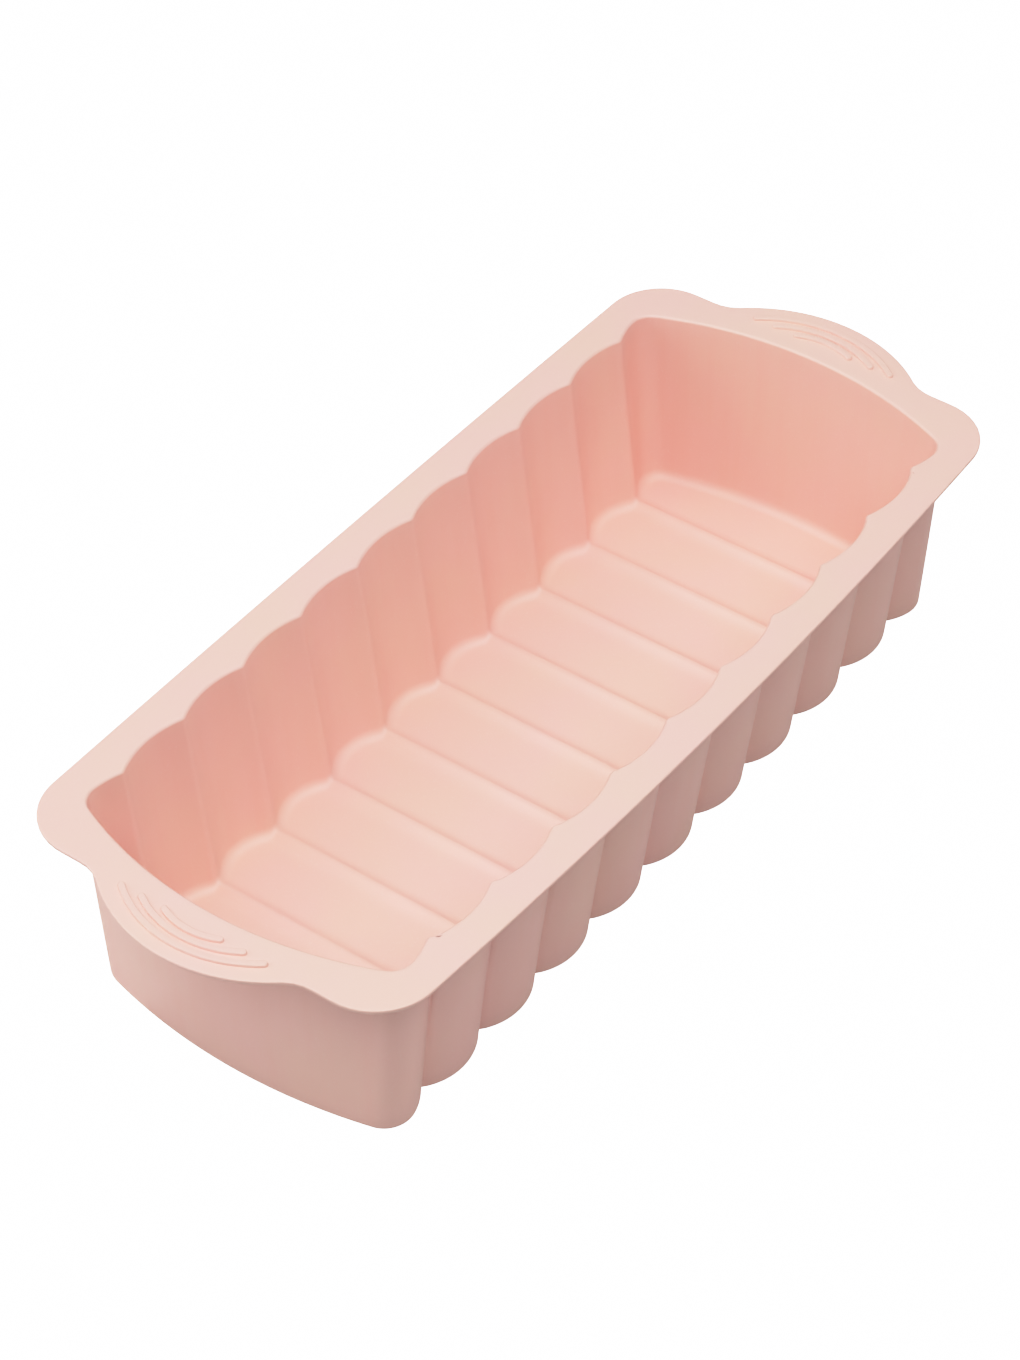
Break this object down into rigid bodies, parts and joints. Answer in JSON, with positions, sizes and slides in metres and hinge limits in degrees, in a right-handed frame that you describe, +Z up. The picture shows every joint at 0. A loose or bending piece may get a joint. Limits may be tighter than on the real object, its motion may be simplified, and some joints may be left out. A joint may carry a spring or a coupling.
{
  "type": "soap loaf mould",
  "caption": "Long fluted silicone soap loaf mould, open at the top, with a ribbed floor, bowed end walls, a flat rim and a bending handle tab at each end.",
  "frame": {"origin": "centre of the flat underside, on the surface the mould stands on", "axes": "+X along the length towards the far handle tab, +Y to the left seen from the near tab, +Z up out of the open top"},
  "size_m": [0.3026, 0.1248, 0.0608],
  "materials": {
    "silicone": "satin moulded silicone, pale pink"
  },
  "bodies": {
    "trough": {"floor_panel": "silicone", "slice_ribs": "silicone", "left_side_wall": "silicone", "right_side_wall": "silicone", "near_end_wall": "silicone", "far_end_wall": "silicone", "left_rim_strip": "silicone", "right_rim_strip": "silicone", "near_rim_end": "silicone", "far_rim_end": "silicone"},
    "near_tab": {"near_handle_tab": "silicone", "near_grip_ribs": "silicone"},
    "far_tab": {"far_handle_tab": "silicone", "far_grip_ribs": "silicone"}
  },
  "joints": [
    {"name": "near_tab_bend", "type": "hinge", "parent": "trough", "child": "near_tab", "pos_m": [-0.1364, 0, 0.059], "axis": [0, 1, 0], "range_deg": [-40, 40], "stiffness_Nm_per_rad": 0.015},
    {"name": "far_tab_bend", "type": "hinge", "parent": "trough", "child": "far_tab", "pos_m": [0.1364, 0, 0.059], "axis": [0, -1, 0], "range_deg": [-40, 40], "stiffness_Nm_per_rad": 0.015}
  ]
}
